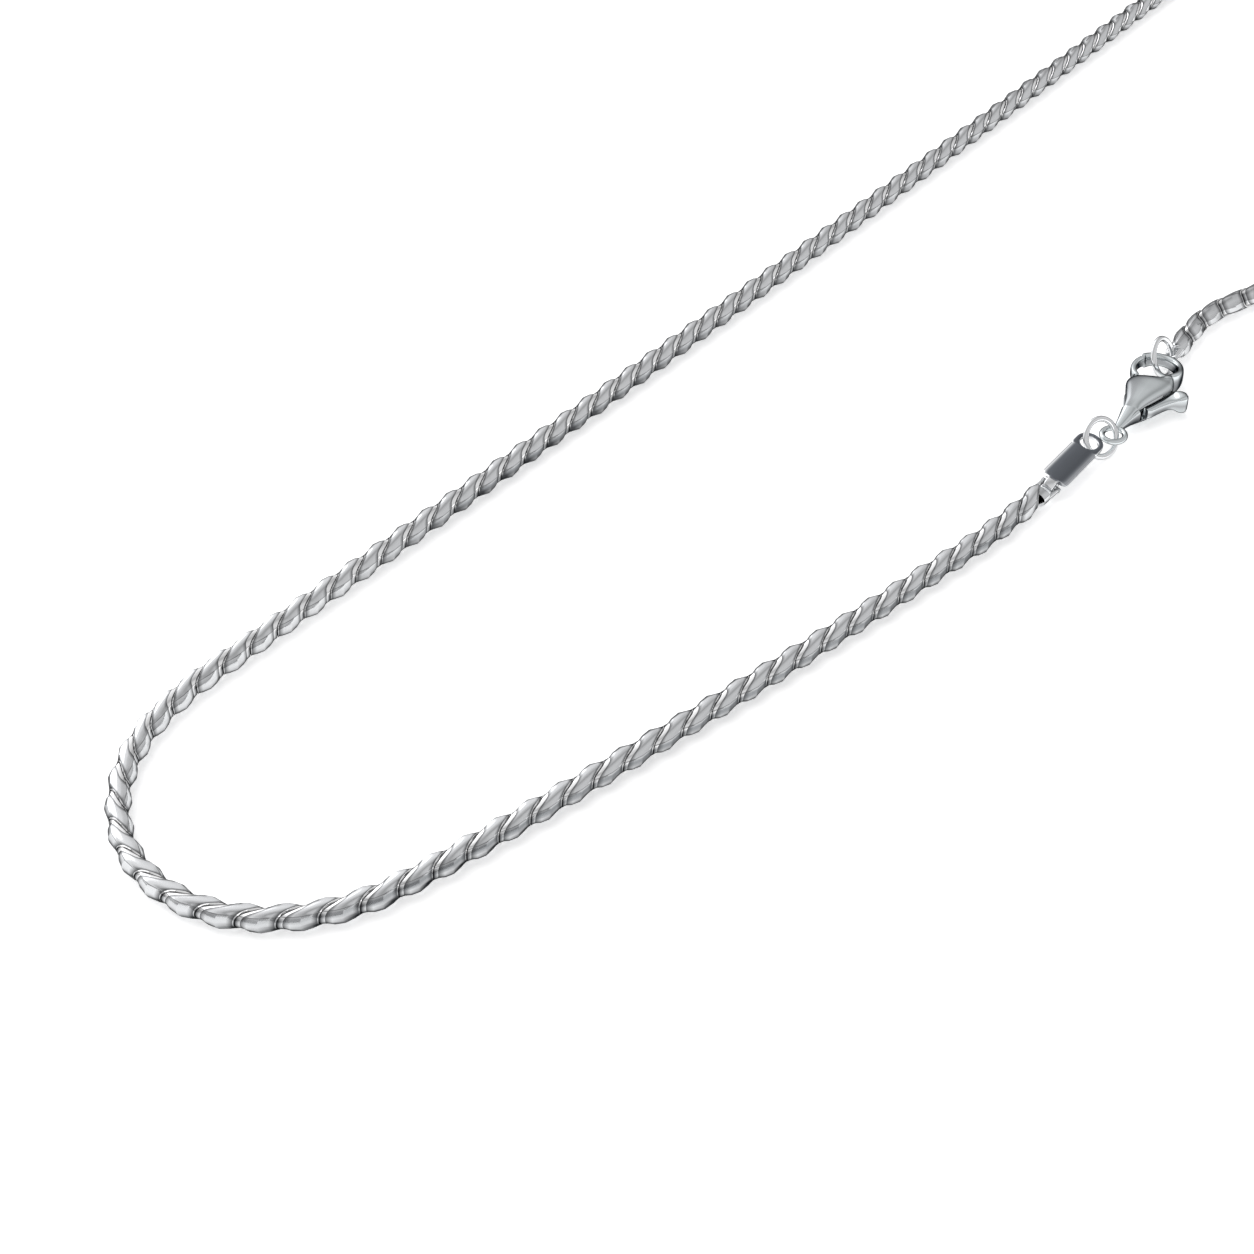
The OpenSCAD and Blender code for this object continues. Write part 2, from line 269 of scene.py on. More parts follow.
# Place, heading and roll at every step of the run: heading and roll change evenly over each stretch, and a
# place is the sum of the steps taken before it, each in the heading at its middle.
def runTable(c):
    rows = np.array(c["route"], float)
    knots = np.concatenate([[0], np.cumsum(rows[:, 0])])
    x0, y0, heading, roll = c["start"]
    turns = heading + np.concatenate([[0], np.cumsum(rows[:, 1])])
    rolls = np.concatenate([[roll], rows[:, 2]])
    s = np.arange(0, knots[-1], c["step"])
    middle = np.radians(np.interp(s + c["step"] / 2, knots, turns))
    x = x0 - c["sheetMiddle"][0] + np.concatenate([[0], np.cumsum(np.cos(middle) * c["step"])[:-1]])
    y = y0 - c["sheetMiddle"][1] + np.concatenate([[0], np.cumsum(np.sin(middle) * c["step"])[:-1]])
    return s, x, y, np.interp(s, knots, turns), np.interp(s, knots, rolls)


run = runTable(chain)


# Points given along the chain, to its left and up, carried onto the run: left and up are turned by the roll,
# and left is laid square to the heading.
def carried(u, v, z):
    s, x, y, turn, roll = run
    px, py = np.interp(u, s, x), np.interp(u, s, y)
    h, r = np.radians(np.interp(u, s, turn)), np.radians(np.interp(u, s, roll))
    left, up = v * np.cos(r) - z * np.sin(r), v * np.sin(r) + z * np.cos(r)
    return np.stack([px - left * np.sin(h), py + left * np.cos(h), chain["axisHeight"] + up], -1)


# Place on the run, heading and roll at one distance along the chain.
def placeAt(distance):
    s, x, y, turn, roll = run
    place = (np.interp(distance, s, x), np.interp(distance, s, y), chain["axisHeight"])
    return place, np.interp(distance, s, turn), np.interp(distance, s, roll)


# one link: two leaves, one above and one below, of a strip bent to a ring; mm and degrees
leaf = {
    "slant": 30,           # of a seam to the chain, at the middle of the leaf
    "bend": 0.55,          # half width over which a seam runs slanted; beyond it the seam turns square
    "gap": 0.06,           # between two leaves, square to the seam
    "facet": 0.25,         # width of the border at the leaf's start, which carries a painted highlight
    "facetDrop": 0.20,     # how far its foot lies under the leaf
    "rim": 0.06,           # width of the narrow border at the leaf's end, which also carries a painted highlight
    "rimDrop": 0.085,      # how far its foot lies under the leaf
    "edge": 0.05,          # height of the small upright edge under a border
    "edgeDark": 0.6,       # how much painted shade that edge takes
    "lip": 0.012,          # width of the rounding over that edge
    "line": 0.075,         # width of the painted shade line between a border and the middle
    "lineDark": (0.85, 0.9),  # how dark its painted shade is at the leaf's start and end
    "lineDip": (0.002, 0.005),  # height of the line's crest at the start, and of the rim's at the end
    "across": (0.2, 0.5, 0.8),  # places over the domed middle, as shares of it
    "round": 0.77,         # radius of the chain's round section
    "sideIn": 0.03,        # how much less its sides have
    "ridge": 43,           # round the section from a leaf's middle to its ridge
    "ridgeIn": 0.20,       # share by which the ridges draw in towards a leaf's ends
    "ridgeLine": 0.70,     # how dark the painted shade line along a ridge is
    "crown": 0.10,         # how far a leaf's middle stands over its ridges
    "dome": 0.045,         # how far it stands over its borders
    "waist": 0.36,         # how far the sides draw in towards a seam
    "waistFrom": (0.35, 0.9),  # radians from the leaf's middle where that begins, and over which it grows
    "open": (15, 8),       # round the side where upper and lower leaf part, with painted shade there, and its soft edge
    "openAt": 100,         # where that is, from the top towards the right
    "partingShade": (0.6, 0.95),  # how early along the leaf the parting's painted shade shows, and how dark it gets
    "notch": (0.75, 0.25, 0.95),  # radians from where a border takes painted shade at the sides, over which, and how much
    "mattTo": (0.1, 1.45, 0.25),  # radians over which the sides turn matt and take the painted side shade, where that ends, and over which
    "shine": (1.15, 0.35, 0.5),    # radians where a border's painted highlight ends, over which, and what matt and painted side shade it clears
    "collar": (0.30, 0.50, 0.30),  # inner and outer radius and reach of the collar under the next leaf
    "tuck": (0.03, 0.07, 0.6),     # under the leaf's end: start, height over the collar, and depth
}


# One link as a closed ring: a grid of rows along the chain by stations a round it, each at its radius.
# Round the section the radius is height / cos a over the flat tables above and below, plus
# crown (1 - (sin a / sin ridge) squared), and past the ridge it grows evenly to the round side. A row that is
# t of the way to a leaf's end has its ridges drawn in by ridgeIn t squared, and its sides by waist t squared.
# A seam runs at u = bend cot(slant) tanh(round sin a / bend), and borders and lines widen by the square root
# of 1 + (du / dv) squared, so that they keep their width square to it. Along the chain the leaf rises from
# its collar over the bright border, domes by 4 dome t (1 - t), and falls over the rim back inside the ring.
def linkSurface(f):
    # stations over a quarter of the round in degrees, close together at the ridge
    quarter = np.array([0, 12, 24, 34, 40, f["ridge"], 46, 53, 62, 72, 81])
    before = 180 - quarter[:0:-1]
    a = np.sort(np.radians(np.concatenate([quarter, before, 180 + quarter, 180 + before, [90, 270]])))
    quarterTurn, ridge = math.pi / 2, math.radians(f["ridge"])
    fromTop = np.minimum(np.abs((a + quarterTurn) % math.pi - quarterTurn), quarterTurn)
    onwards = np.where(a % math.pi < quarterTurn, 1, -1)
    height = f["round"] * math.cos(ridge)

    # the seam's slant and what it does to widths along the chain
    lean, w = 1 / math.tan(math.radians(f["slant"])), f["bend"]
    slope = lean * (1 - np.tanh(f["round"] * np.sin(a) / w) ** 2) * np.abs(np.cos(a))
    stretch = np.sqrt(1 + slope ** 2)
    left = -chain["pitch"] / 2 + f["gap"] / 2 * stretch
    right = chain["pitch"] / 2 - f["gap"] / 2 * stretch
    begin, end = left + f["facet"] * stretch, right - f["rim"] * stretch
    line = f["line"] * stretch

    # rows: place along the chain, drop from the section or a radius of its own, share of painted shade,
    # painted highlight or not
    inner, outer, under = f["collar"]
    back, over, deep = f["tuck"]
    drop, rimDrop, edge, lip = (f[k] for k in ("facetDrop", "rimDrop", "edge", "lip"))
    rows = [(left - under, None, inner, 1, 0), (left - under, None, outer, 1, 0),
            (left + 0.02, None, outer, 1, 0), (left, drop + edge, None, f["edgeDark"], 0),
            (left + lip, drop, None, 0, 1), (begin, 0, None, 0, 1),
            (begin + line * 0.3, -f["lineDip"][0], None, f["lineDark"][0], 0)]
    rows += [(begin + (end - begin) * t, -f["dome"] * 4 * t * (1 - t), None, 0, 0) for t in f["across"]]
    rows += [(end - line * 0.6, 0, None, f["lineDark"][1], 0), (end, -f["lineDip"][1], None, 0, 1),
             (right - lip, rimDrop, None, 0, 1), (right, rimDrop + edge, None, f["edgeDark"], 0),
             (right - back, None, outer + over, 1, 0), (left + deep, None, outer + over, 1, 0),
             (left + deep, None, inner, 1, 0)]

    # fields round the section
    start, width = f["waistFrom"]
    taper = np.clip((fromTop - start) / width, 0, 1)
    taper = taper * taper * (3 - 2 * taper)
    # the parting: painted shade round the side where the upper and lower leaf part
    half, soft = (math.radians(x) for x in f["open"])
    away = np.abs((a + math.radians(f["openAt"]) + quarterTurn) % math.pi - quarterTurn)
    parting = np.clip((half + soft - away) / soft, 0, 1)
    # the notch: painted shade where a border reaches the sides
    notchFrom, notchOver, notchDark = f["notch"]
    notch = np.clip((fromTop - notchFrom) / notchOver, 0, notchDark)
    # the sides turn matt and take the painted side shade
    mattOver, mattEnd, mattSoft = f["mattTo"]
    mattAndShade = np.clip((fromTop - ridge) / mattOver, 0, 1) * np.clip((mattEnd - fromTop) / mattSoft, 0.25, 1)
    # painted highlight on the borders, fading towards the sides
    shineEnd, shineOver, clears = f["shine"]
    shine = np.clip((shineEnd - fromTop) / shineOver, 0, 1)
    # a painted shade line along each ridge
    ridgeDark = f["ridgeLine"] * (np.abs(fromTop - ridge) < 0.02)

    points = []
    fields = {"painted_shade": [], "matt_and_painted_light": [], "bright": [], "parting_shade": []}
    for along, fall, own, dark, bright in rows:
        t = np.clip(along / chain["pitch"] * 2, -1, 1)
        drawn = ridge * (1 - f["ridgeIn"] * t ** 2)
        past = quarterTurn - (quarterTurn - fromTop) * (quarterTurn - drawn) / (quarterTurn - ridge)
        off = np.where(fromTop < ridge, fromTop * drawn / ridge, past)
        angle = a + onwards * (off - fromTop)
        crown = f["crown"] * np.maximum(1 - (np.sin(off) / np.sin(drawn)) ** 2, 0)
        radius = height / np.cos(np.minimum(off, drawn)) + crown
        sideways = np.clip((off - drawn) / (quarterTurn - drawn), 0, 1)
        radius += (f["round"] - f["sideIn"] - height / np.cos(drawn)) * sideways
        if fall is None:
            radius = own + 0 * a
        else:
            radius = np.maximum(radius - f["waist"] * np.abs(t) ** 2 * taper - fall, outer + over + 0.005)
            if fall > edge + 0.01:
                dark = np.maximum(dark, notch)
        u = along + lean * w * np.tanh(f["round"] * np.sin(angle) / w)
        points.append(np.stack([u, radius * np.sin(angle), radius * np.cos(angle)], -1))
        # painted shade from the rows' dark shares, the notches and the ridge lines
        fields["painted_shade"].append(np.maximum(dark, ridgeDark) + 0 * a)
        fields["bright"].append(shine * bright)
        fields["matt_and_painted_light"].append(mattAndShade * (fall is not None) * (1 - shine * bright * clears))
        fields["parting_shade"].append(parting * np.clip(f["partingShade"][0] + t, 0, 1) ** 2 * f["partingShade"][1])
    points = np.concatenate(points)
    quads = gridQuads(len(rows), len(a), closeRows=True)
    if volumeOf(points, [quads]) < 0:
        quads = quads[:, ::-1]
    return points, quads, {key: np.concatenate(values) for key, values in fields.items()}


linkPoints, linkQuads, linkFields = linkSurface(leaf)
print("a link has", len(linkQuads), "faces")


# The links from one number to the next as one piece, each bent along the run.
def addLinks(name, first, last, node):
    at = chain["barReach"] + np.arange(first, last + 1) * chain["pitch"]
    points = carried(at[:, None] + linkPoints[None, :, 0], linkPoints[None, :, 1], linkPoints[None, :, 2])
    quads = linkQuads[None] + (np.arange(len(at)) * len(linkPoints))[:, None, None]
    # where the matt, the painted side shade and the parting's painted shade are lifted
    rest = 1 - np.interp(at, *np.transpose(chain["mattAndShadeLift"]))[:, None] * chain["mattAndShadeLiftMost"]
    fields = {"painted_shade": np.maximum(linkFields["painted_shade"], linkFields["parting_shade"] * rest).reshape(-1),
              "matt_and_painted_light": (linkFields["matt_and_painted_light"] * rest).reshape(-1),
              "bright": np.tile(linkFields["bright"], len(at))}
    addPiece(name, points.reshape(-1, 3), quads.reshape(-1, 4).tolist(), chainSilver, "necklace", node,
             chain["sharp"], fields)


middleLink = chain["count"] // 2
addLinks("chain_start_links", 1, middleLink, "chain_start")
addLinks("chain_finish_links", middleLink + 1, chain["count"] - 2, "chain_finish")
print("the chain is laid")


# Values on a smooth curve through the rows of knots: on each span a cubic that leaves and reaches its knots
# in the direction of their neighbours.
def curved(knots, count):
    k = np.array(knots, float)
    ends = np.concatenate([2 * k[:1] - k[1:2], k, 2 * k[-1:] - k[-2:-1]])
    at = np.linspace(0, len(k) - 1, count)
    i = np.minimum(at.astype(int), len(k) - 2)
    t = (at - i)[:, None]
    a, b, c, d = ends[i], ends[i + 1], ends[i + 2], ends[i + 3]
    square, cube = 2 * a - 5 * b + 4 * c - d, 3 * b - a - 3 * c + d
    return 0.5 * (2 * b + (c - a) * t + square * t ** 2 + cube * t ** 3)


# Fans of triangles that close a grid's first and last ring, round two middles that are added to its points.
def capFaces(points, around):
    n, k = len(points), np.arange(around)
    onwards = (k + 1) % around
    first = np.stack([0 * k + n, onwards, k], -1)
    last = np.stack([0 * k + n + 1, n - around + k, n - around + onwards], -1)
    middles = np.stack([points[:around].mean(0), points[-around:].mean(0)])
    return np.concatenate([points, middles]), first, last


# A closed body over knots (x and y of its one edge, x and y of the other, top, middle and bottom height).
# The section at w runs from edge to edge as cos w and up and down as sin w, both raised to the fullness. Its
# sides are matt where they lie nearer the middle than the share edge of the height, at the one edge only by
# shade; flank makes the top matt towards the other edge. Matt here also brings the side colour: painted shade
# on the clasp and painted highlight on the tag.
def loft(knots, count, around, fullness, edge=0.62, flank=0.0, shade=1.0):
    row = curved(knots, count)
    w = np.arange(around) * 2 * math.pi / around
    c, d = np.cos(w), np.sin(w)
    across = np.sign(c) * np.abs(c) ** fullness
    lift = np.sign(d) * np.abs(d) ** fullness
    one, other = row[:, 0:2], row[:, 2:4]
    xy = (one + other)[:, None] / 2 + (other - one)[:, None] / 2 * across[None, :, None]
    top, middle, bottom = (row[:, k:k + 1] for k in (4, 5, 6))
    z = middle + np.where(lift > 0, (top - middle) * lift, (middle - bottom) * lift)
    points, first, last = capFaces(np.concatenate([xy, z[..., None]], -1).reshape(-1, 3), around)
    # matt and painted light: the side colour as painted shade on the clasp and as painted highlight on the
    # tag
    matt_and_painted_light = np.clip((edge - np.abs(lift)) / 0.2, 0, 1) * np.where(across < 0, shade, 1)
    matt_and_painted_light = np.maximum(matt_and_painted_light, flank * np.clip((across - 0.05) / 0.4, 0, 1))
    matt_and_painted_light = np.concatenate([np.tile(matt_and_painted_light, count), [1, 1]])
    return points, [gridQuads(count, around), first, last], np.stack([0 * matt_and_painted_light, matt_and_painted_light])


# A ring round the z axis: ((R + r cos w) cos a, (R + r cos w) sin a, r sin w).
def torus(radius, wire, count=72, around=20):
    a = (np.arange(count) * 2 * math.pi / count)[:, None]
    w = (np.arange(around) * 2 * math.pi / around)[None, :]
    reach = radius + wire * np.cos(w)
    points = np.stack([reach * np.cos(a), reach * np.sin(a), wire * np.sin(w) + 0 * a], -1).reshape(-1, 3)
    return points, [gridQuads(count, around, closeRows=True)]


# Points turned about x, then about z, in degrees, and moved.
def turned(points, z=0, x=0, move=(0, 0, 0)):
    a, b = math.radians(x), math.radians(z)
    rx = np.array([[1, 0, 0], [0, math.cos(a), -math.sin(a)], [0, math.sin(a), math.cos(a)]])
    rz = np.array([[math.cos(b), -math.sin(b), 0], [math.sin(b), math.cos(b), 0], [0, 0, 1]])
    return points @ (rz @ rx).T + np.array(move)


# radius at the middle of the wire and place of the middle in mm, turn and lean in degrees
rings = {
    "wire": 0.2,
    "jump": {"radius": 1.25, "place": (-35.71, -15.41, 1.25), "turn": -11, "lean": 57},
    "end": {"radius": 1.3, "place": (-25.82, -13.31, 1.36), "turn": 12.4, "lean": 62.4},
}


def addRing(name, r, node):
    points, faces = torus(r["radius"], rings["wire"])
    points = turned(points, r["turn"], r["lean"], r["place"])
    addSolid(name, [(points, faces)], ringSilver, "necklace", node)


addRing("jump_ring_wire", rings["jump"], "jump_ring")
addRing("end_ring_wire", rings["end"], "end_ring")
print("the rings are bent")

# mm, from the middle of the hook, with x towards the hook's far end
clasp = {
    "place": (-27.19, -13.75, 1.05),
    "turn": 16,                # degrees
    "slot": 0.48,              # half height of the slot that the trigger turns in
    "flank": 0.8,              # how much painted shade and matt the upper cheek's far side takes
    # half thickness along the clasp
    "thick": [(-8.5, 0.2), (-6.9, 0.22), (-5.6, 0.52), (-4.2, 1.0), (-2.2, 1.05), (2.5, 0.36)],
    "neckFrom": -5,            # nearer the eye than this the cheeks lie inside the neck
    "neckIn": 0.06,            # and by how much
    "cheekLeast": 0.06,        # least thickness of a cheek
    "cheekWidest": 0.03,       # how far its widest level lies from the slot
    # x and y of the one edge, x and y of the other, from the neck to where the hook starts
    "cheek": [(-6.3, -0.20, -6.3, 0.40), (-5.8, -0.33, -5.8, 0.42), (-5.3, -0.50, -5.2, 0.46),
              (-4.5, -0.88, -4.5, 0.64), (-3.5, -1.34, -3.55, 0.98), (-2.75, -1.68, -2.6, 1.24),
              (-2.2, -1.82, -1.95, 1.00), (-1.75, -1.78, -1.62, 0.20), (-1.45, -1.68, -1.42, -0.60),
              (-1.18, -1.56, -1.18, -1.05)],
    # x, and y of both edges, from the eye to the cheeks
    "neck": [(-7.05, -0.02, 0.44), (-6.6, -0.18, 0.48), (-6.0, -0.38, 0.54), (-5.5, -0.57, 0.60),
             (-5.15, -0.72, 0.64)],
    "hook": (1.27, 1.83),      # inner and outer radius
    "hookRoot": [(-1.55, -1.70, -1.45, -0.35), (-1.25, -1.62, -1.20, -0.70)],  # edges, as the cheek's
    "rootHalf": 0.95,          # half thickness there
    "hookAt": (-125, -105, -85, -60, -35, -10, 15, 35, 48, 53),  # degrees round the hook
    "eye": (-7.75, 0.2, 0.755, 0.195),  # x, y, radius and half width of its metal
}


# Half thickness of the clasp at x, in straight stretches between its knots.
def halfThick(x):
    return float(np.interp(x, *np.transpose(clasp["thick"])))


# A part of the clasp, turned and moved to the clasp's place.
def inClasp(part):
    return turned(part[0], clasp["turn"], 0, clasp["place"]), *part[1:]


# A knot from edges and half the thickness.
def slab(edges, half):
    return *edges, half, 0, -half


# A knot on an arc: outer and inner radius at an angle in degrees, and half the thickness.
def arcKnot(outer, inner, angle, half):
    c, d = math.cos(math.radians(angle)), math.sin(math.radians(angle))
    return outer * c, outer * d, inner * c, inner * d, half, 0, -half


def addClasp(c):
    upper, lower = [], []
    for x0, y0, x1, y1 in c["cheek"]:
        half = halfThick((x0 + x1) / 2) - (c["neckIn"] if x0 < c["neckFrom"] else 0)
        level = min(c["slot"], half - c["cheekLeast"])
        widest = level + c["cheekWidest"]
        upper.append((x0, y0, x1, y1, half, widest, level))
        lower.append((x0, y0, x1, y1, -level, -widest, -half))
    neck = [slab((x, y0, x, y1), halfThick(x)) for x, y0, y1 in c["neck"]]
    inner, outer = c["hook"]
    hook = [slab(edges, c["rootHalf"]) for edges in c["hookRoot"]]
    for angle in c["hookAt"]:
        hook.append(arcKnot(outer, inner, angle, halfThick(outer * math.cos(math.radians(angle)))))
    x, y, radius, metal = c["eye"]
    points, faces = torus(radius, metal)
    # the walls and the upper cheek's far flank take the clasp's side colour: painted shade
    parts = [loft(upper, 60, 40, 0.8, flank=c["flank"]), loft(lower, 60, 40, 0.8), loft(neck, 20, 32, 0.7),
             loft(hook, 70, 32, 0.75), (points + np.array([x, y, 0]), faces)]
    addSolid("clasp_shell", [inClasp(part) for part in parts], claspSilver, "necklace", "clasp_body")


addClasp(clasp)

# the trigger, in the clasp's own x and y; edges as the cheek's
trigger = {
    "half": 0.4,               # half thickness
    "neckHalf": 0.46,          # where the lever narrows before the thumb tab
    "tabHalf": 0.65,           # and at the tab
    "gate": (1.34, 1.76),      # inner and outer radius
    "gateAt": (139, 125, 110, 95, 80, 68, 60),  # degrees round it
    "gateRoot": [(-2.6, 0.35, -1.7, 0.25), (-2.75, 0.8, -1.25, 0.75), (-2.3, 1.16, -1.12, 0.92)],
    "lever": [(-4.72, -1.08, -4.55, -0.72), (-4.5, -1.3, -4.1, -0.5), (-3.9, -1.62, -3.4, -0.4),
              (-3.3, -1.98, -2.5, -0.6)],
    "leverNeck": (-2.98, -2.3, -2.08, -1.6),
    "tab": [(-2.85, -2.7, -1.92, -2.15), (-2.62, -3.0, -1.9, -2.6)],
    "tabEnd": (-2.4, -3.05, -2.0, -2.9),
    "hub": [(-3.1, -0.6, -2.1, -0.8), (-3.1, 0.3, -1.95, 0.4), (-3.0, 0.9, -2.0, 0.9)],
    "hubEnd": (-2.7, 1.18, -2.3, 1.18),
}


def addTrigger(c):
    half, tabHalf = c["half"], c["tabHalf"]
    inner, outer = c["gate"]
    gate = [slab(edges, half) for edges in c["gateRoot"]]
    gate += [arcKnot(outer, inner, angle, half) for angle in c["gateAt"]]
    lever = [slab(edges, half) for edges in c["lever"]] + [slab(c["leverNeck"], c["neckHalf"])]
    lever += [slab(edges, tabHalf) for edges in c["tab"]] + [slab(c["tabEnd"], tabHalf * 0.7)]
    hub = [slab(edges, half) for edges in c["hub"]] + [slab(c["hubEnd"], half * 0.9)]
    parts = [loft(gate, 50, 24, 0.6), loft(lever, 50, 24, 0.45), loft(hub, 20, 24, 0.5)]
    addSolid("trigger_lever", [inClasp(part) for part in parts], claspSilver, "trigger", "clasp_trigger")


addTrigger(trigger)
print("the clasp is shaped")

# an end of the chain: a link cut square, the block that closes it, and a cross bar between two arms
chainEnd = {
    "cut": 1.39,                 # how far the link reaches
    "block": (1.5, 0.7, 0.5),    # how far the block reaches, its half width and half height
    "blockFrom": (0.75, 1.2),    # where it starts and where it still has its full width
    "arm": (0.57, 0.13, 0.18),   # an arm's distance from the middle, its half width and half height
    "bar": (0.18, 0.66, 0.70),   # radius of the bar, half length at its full radius and in all
    "matt_and_painted_light": 0.2,                 # how much of the matt and painted side shade the sides keep beside the other links'
    "sharp": 34,                 # degrees past which an edge stays sharp
}


# The link of that number as an end of the chain; side is 1 at the chain's finish and -1 at its start.
def addEnd(name, number, side, node):
    e = chainEnd
    s = chain["barReach"] + number * chain["pitch"]
    along = np.minimum(linkPoints[:, 0] * side, e["cut"]) * side
    shell = carried(s + along, linkPoints[:, 1], linkPoints[:, 2])
    place, turn, roll = placeAt(s)
    reach, wide, tall = e["block"]
    steps = [(x, 1, 1) for x in e["blockFrom"]] + [(reach - 0.1, 0.97, 0.95), (reach, 0.8, 0.7)]
    block = [slab((x, -wide * share, x, wide * share), tall * flat) for x, share, flat in steps]
    parts = [loft(block, 16, 28, 0.75)]
    barAt = chain["barReach"]
    armAt, armHalf, armTall = e["arm"]
    for k in (-armAt, armAt):
        arm = [slab((x, k - armHalf, x, k + armHalf), armTall) for x in (reach - 0.2, 1.9, barAt)]
        parts.append(loft(arm, 8, 16, 0.8))
    radius, full, half = e["bar"]
    small = radius * 0.8
    rounds = ((-half, small), (-full, radius), (0, radius), (full, radius), (half, small))
    parts.append(loft([slab((barAt - r, y, barAt + r, y), r) for y, r in rounds], 17, 20, 1.0))
    back = 0 if side > 0 else 180
    solids = [(shell, [linkQuads], np.stack([linkFields["painted_shade"], linkFields["matt_and_painted_light"] * e["matt_and_painted_light"]]))]
    solids += [(turned(turned(part[0], back), turn, roll, place), part[1]) for part in parts]
    addSolid(name, solids, chainSilver, "necklace", node, e["sharp"])


addEnd("ring_end_bead", 0, -1, "ring_end_link")
addEnd("tag_end_bead", chain["count"] - 1, 1, "tag_end_link")
print("the chain's ends are closed")

# mm, from the middle of the cross bar
tag = {
    "turn": 7,                 # degrees
    "thick": (0.30, 0.60),     # height of the underside and of the top
    "dome": 0.08,              # how far the plate's middle stands over that
    "near": 0.3,               # how much of the edges' painted highlight the right-hand edge gets beside the left one
    # distance from the bar and half width
    "edge": [(0.0, 0.34), (0.06, 0.40), (0.12, 0.75), (0.22, 0.90), (0.6, 0.95), (2.2, 0.95), (3.4, 0.95),
             (3.95, 0.95)],
    "hole": (4.7, 0.6, 0.95),  # place, its radius and the radius of the head round it
    "headSpread": 1.2,         # how far the head's back corners reach, as a share of its radius
    "curl": (0.45, 0.15, 0.36, 290),  # radius, half thickness, half width and degrees of the curl
}


# The tag's lower end rolled round the bar: (-(R + d) sin a, y, (R + d) cos a), where d = h cos w and
# y = b sin w, with the cosine raised to 0.5 and the sine to 0.35 for an oblong section with rounded corners.
def curlSurface(c, count=48, around=20):
    radius, half, wide, sweep = c
    a = np.linspace(0, math.radians(sweep), count)[:, None]
    w = (np.arange(around) * 2 * math.pi / around)[None, :]
    d = half * np.sign(np.cos(w)) * np.abs(np.cos(w)) ** 0.5
    y = wide * np.sign(np.sin(w)) * np.abs(np.sin(w)) ** 0.35 + 0 * a
    strip = np.stack([-(radius + d) * np.sin(a), y, (radius + d) * np.cos(a)], -1).reshape(-1, 3)
    points, first, last = capFaces(strip, around)
    # the whole curl takes the tag's side colour: painted highlight
    matt_and_painted_light = np.ones(len(points))
    return points, [gridQuads(count, around), first, last], np.stack([0 * matt_and_painted_light, matt_and_painted_light])


# The tag: a plate, a head round its hole, which is round in front and square behind, and the curl.
def addTag(c):
    low, high = c["thick"]
    place, heading, roll = placeAt(chain["barReach"] + (chain["count"] - 1) * chain["pitch"])
    aim = math.radians(heading)
    reach = chain["barReach"]
    barPlace = (place[0] + reach * math.cos(aim), place[1] + reach * math.sin(aim), place[2])
    plate = [(x, -w, x, w, high + c["dome"], low + 0.1, low) for x, w in c["edge"]]
    holeAt, holeR, headR = c["hole"]
    q = np.radians(np.linspace(-180, 180, 33))
    cosine, sine = np.cos(q), np.sin(q)
    square = np.minimum(1 / np.maximum(np.abs(sine), 0.01), c["headSpread"])
    far = headR * np.where(cosine > 0, 1, square)
    head = np.stack([holeAt + far * cosine, far * sine, holeAt + holeR * cosine, holeR * sine,
                     0 * q + high, 0 * q + (low + high) / 2, 0 * q + low], -1)
    # the plate's and head's edges take the tag's side colour as painted highlight, the near edge less
    parts = [loft(plate, 60, 48, 0.7, 0.88, shade=c["near"]), loft(head, 96, 32, 0.55, 0.93),
             curlSurface(c["curl"])]
    placed = [(turned(part[0], c["turn"], roll, barPlace), *part[1:]) for part in parts]
    addSolid("tag_plate", placed, tagSilver, "necklace", "end_tag")


addTag(tag)
print("the tag is shaped")

studio = {
    "floor": {"colour": (0.90, 0.90, 0.90), "glow": 0.42, "half": 3.0, "depth": 2e-5},  # lengths in m
    "sun": {"power": 0.8, "from": (-0.10, 0.26, 0.96), "spread": 45},
    "bright": (0.05, 0.93, 0.36),       # where the dome is brightest
    # place from the side away from that one to it, and level there
    "levels": [(0.0, 0.58), (0.42, 0.70), (0.54, 0.64), (0.67, 0.42), (0.80, 0.66), (0.875, 0.92),
               (0.93, 1.0), (0.965, 2.0)],
    "horizon": {"upTo": 0.10, "level": 0.28},  # the dome dims towards the horizon
}


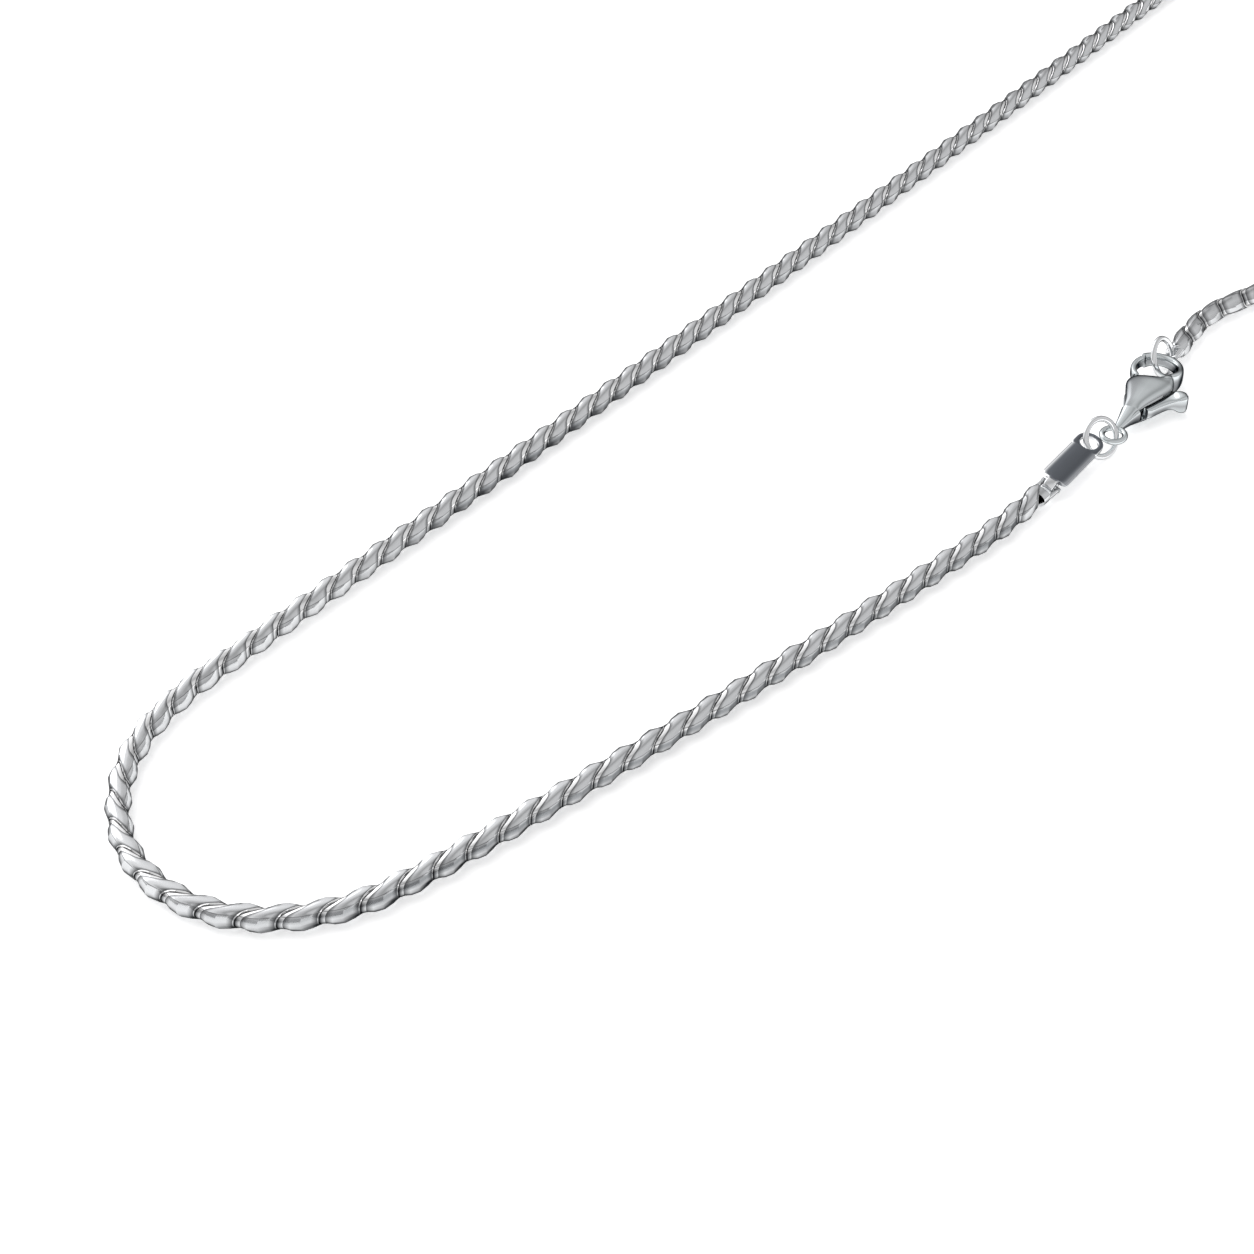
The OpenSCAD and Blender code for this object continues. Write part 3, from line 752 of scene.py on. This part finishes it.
# A flat square of pale paper that glows a little.
def addFloor(c):
    r, z = c["half"], -c["depth"]
    mesh = bpy.data.meshes.new("floor")
    mesh.from_pydata([(-r, -r, z), (r, -r, z), (r, r, z), (-r, r, z)], [], [(0, 1, 2, 3)])
    mat = bpy.data.materials.new("paper")
    mat.use_nodes = True
    shader = mat.node_tree.nodes["Principled BSDF"]
    shader.inputs["Base Color"].default_value = (*c["colour"], 1)
    shader.inputs["Emission Color"].default_value = (1, 1, 1, 1)
    shader.inputs["Emission Strength"].default_value = c["glow"]
    shader.inputs["Roughness"].default_value = 0.9
    shader.inputs["Specular IOR Level"].default_value = 0.1
    mesh.materials.append(mat)
    ob = bpy.data.objects.new("floor", mesh)
    bpy.context.scene.collection.objects.link(ob)


# One wide soft sun from high up: it lights the paper and throws the shadow, and isn't mirrored in the silver.
def addSun(c):
    lamp = bpy.data.lights.new("soft_sun", "SUN")
    lamp.energy, lamp.angle = c["power"], math.radians(c["spread"])
    sun = bpy.data.objects.new("soft_sun", lamp)
    bpy.context.scene.collection.objects.link(sun)
    z = np.array(c["from"]) / np.linalg.norm(c["from"])
    x = np.cross([0, 0, 1.0], z)
    x /= np.linalg.norm(x)
    axes = np.eye(4)
    axes[:3, 0], axes[:3, 1], axes[:3, 2] = x, np.cross(z, x), z
    sun.matrix_world = Matrix(axes.tolist())
    sun.visible_glossy = False


# A dome whose level follows the cosine to its bright direction, and which dims towards the horizon.
def addDome(c):
    world = bpy.data.worlds.new("studio")
    world.use_nodes = True
    bpy.context.scene.world = world
    tree = world.node_tree
    new, wire = tree.nodes.new, tree.links.new
    way = new("ShaderNodeTexCoord").outputs["Generated"]
    dot = new("ShaderNodeVectorMath")
    dot.operation = "DOT_PRODUCT"
    dot.inputs[1].default_value = (np.array(c["bright"]) / np.linalg.norm(c["bright"])).tolist()
    wire(way, dot.inputs[0])
    ramp = new("ShaderNodeValToRGB")
    ramp.color_ramp.interpolation = "EASE"
    wire(spread(tree, dot.outputs["Value"], (-1, 1), (0, 1)), ramp.inputs[0])
    while len(ramp.color_ramp.elements) < len(c["levels"]):
        ramp.color_ramp.elements.new(0.5)
    for element, (at, level) in zip(ramp.color_ramp.elements, c["levels"]):
        element.position, element.color = at, (level, level, level * 1.01, 1)
    height = new("ShaderNodeSeparateXYZ")
    wire(way, height.inputs[0])
    horizon = c["horizon"]
    strength = spread(tree, height.outputs["Z"], (0, horizon["upTo"]), (horizon["level"], 1), "SMOOTHSTEP")
    wire(strength, tree.nodes["Background"].inputs["Strength"])
    wire(ramp.outputs[0], tree.nodes["Background"].inputs["Color"])


addFloor(studio["floor"])
addSun(studio["sun"])
addDome(studio)
bpy.context.scene.view_settings.view_transform = "Standard"
print("the studio is lit")
